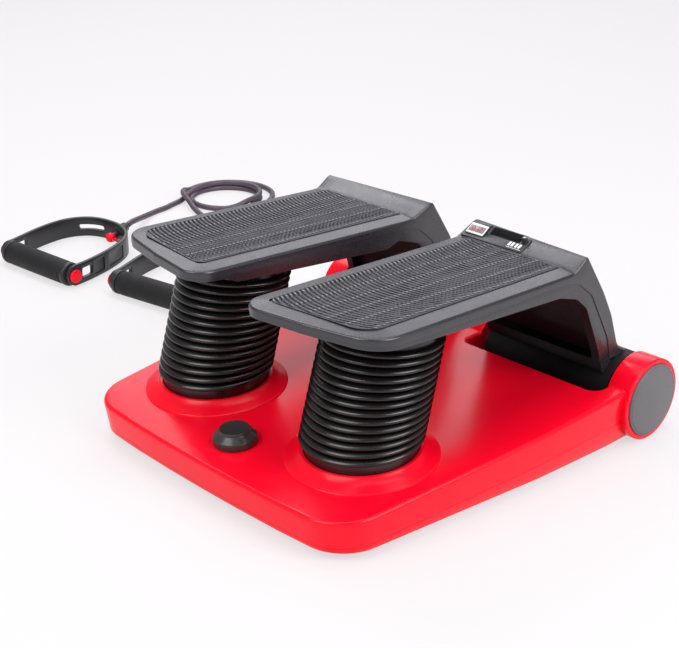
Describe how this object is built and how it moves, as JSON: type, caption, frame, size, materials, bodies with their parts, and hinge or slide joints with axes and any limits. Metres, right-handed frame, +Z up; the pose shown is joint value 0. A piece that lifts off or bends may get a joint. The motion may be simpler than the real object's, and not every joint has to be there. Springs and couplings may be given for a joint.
{
  "type": "air walker",
  "caption": "Compact stepper with two hinged foot pedals on air bellows over a sloping base, with stretch tubes and hand grips laid beside it.",
  "frame": {"origin": "on the floor, at the middle of the area that the stepper and its two hand grips take up; the stepper's own middle is 0.2315 m along +X", "axes": "+X from the hand grips to the right pedal's side, +Y from the heel end and its knob to the hinge, +Z up"},
  "size_m": [0.9435, 0.6455, 0.2027],
  "materials": {
    "red_plastic": "satin gloss",
    "pedal_plastic": "fine texture",
    "tread_rubber": "ribbed",
    "black_plastic": "satin",
    "bellows_rubber": "glossy",
    "grey_plastic": "satin",
    "black_rubber": "matt",
    "steel": "zinc plated",
    "brass": "machined",
    "white_plastic": "satin",
    "circuit_board": "varnished",
    "grip_foam": "matt foam",
    "latex_tube": "satin"
  },
  "bodies": {
    "base": {"base_top_shell": "red_plastic", "base_tray": "red_plastic", "rubber_foot_1": "black_rubber", "rubber_foot_2": "black_rubber", "rubber_foot_3": "black_rubber", "rubber_foot_4": "black_rubber", "base_screw_1": "steel", "base_screw_2": "steel", "base_screw_3": "steel", "base_screw_4": "steel", "hinge_shaft": "steel", "shaft_clip_right": "steel", "shaft_clip_left": "steel", "end_cap_right": "grey_plastic", "end_cap_left": "grey_plastic", "tube_anchor_1": "black_plastic", "tube_anchor_2": "black_plastic", "bellows_seat_right": "red_plastic", "bellows_seat_left": "red_plastic", "bellows_right": "bellows_rubber", "bellows_left": "bellows_rubber", "valve_block": "brass", "air_hose_right": "black_rubber", "air_hose_left": "black_rubber", "handle_1_yoke": "black_plastic", "handle_1_core": "white_plastic", "handle_1_plug_right": "red_plastic", "handle_1_plug_left": "red_plastic", "handle_1_stop_ball": "red_plastic", "handle_2_yoke": "black_plastic", "handle_2_core": "white_plastic", "handle_2_plug_right": "red_plastic", "handle_2_plug_left": "red_plastic", "handle_2_stop_ball": "red_plastic", "tube_1_handle_run": "latex_tube", "tube_1_base_run": "latex_tube", "tube_2_handle_run": "latex_tube", "tube_2_base_run": "latex_tube", "tube_coil": "latex_tube"},
    "right_pedal": {"right_pedal_top": "pedal_plastic", "right_pedal_underside": "pedal_plastic", "right_tread_pad": "tread_rubber", "right_bellows_plate": "black_plastic", "right_bush_outer": "white_plastic", "right_bush_inner": "white_plastic", "counter_case": "black_plastic", "counter_display": "white_plastic", "counter_board": "circuit_board", "counter_cell": "steel"},
    "left_pedal": {"left_pedal_top": "pedal_plastic", "left_pedal_underside": "pedal_plastic", "left_tread_pad": "tread_rubber", "left_bellows_plate": "black_plastic", "left_bush_outer": "white_plastic", "left_bush_inner": "white_plastic"},
    "knob": {"valve_knob": "black_plastic", "valve_spindle": "brass"},
    "reset_button": {"counter_button": "white_plastic"},
    "grip_1": {"handle_1_grip": "grip_foam"},
    "grip_2": {"handle_2_grip": "grip_foam"}
  },
  "joints": [
    {"name": "right_pedal_hinge", "type": "hinge", "parent": "base", "child": "right_pedal", "pos_m": [0.3338, 0.1724, 0.0427], "axis": [1, 0, 0], "range_deg": [-8.5, 7.5], "deforming": ["bellows_right"]},
    {"name": "left_pedal_hinge", "type": "hinge", "parent": "base", "child": "left_pedal", "pos_m": [0.1292, 0.1724, 0.0427], "axis": [1, 0, 0], "range_deg": [-7.5, 8.5], "deforming": ["bellows_left"]},
    {"name": "knob_turn", "type": "hinge", "parent": "base", "child": "knob", "pos_m": [0.2315, -0.175, 0.04241], "axis": [0, -0.0639, 0.998], "range_deg": [-135, 135]},
    {"name": "button_press", "type": "slide", "parent": "right_pedal", "child": "reset_button", "axis": [0, 0, -1], "range_m": [0, 0.0014], "stiffness_N_per_m": 300, "springref_m": -0.002},
    {"name": "grip_1_turn", "type": "hinge", "parent": "base", "child": "grip_1", "pos_m": [-0.3535, -0.012, 0.0153], "axis": [0.9969, 0.0785, 0], "continuous": true},
    {"name": "grip_2_turn", "type": "hinge", "parent": "base", "child": "grip_2", "pos_m": [-0.1695, 0.033, 0.0153], "axis": [0.9848, 0.1736, 0], "continuous": true}
  ],
  "couplings": [
    {"joint": "left_pedal_hinge", "follows": "right_pedal_hinge", "ratio": -1}
  ]
}
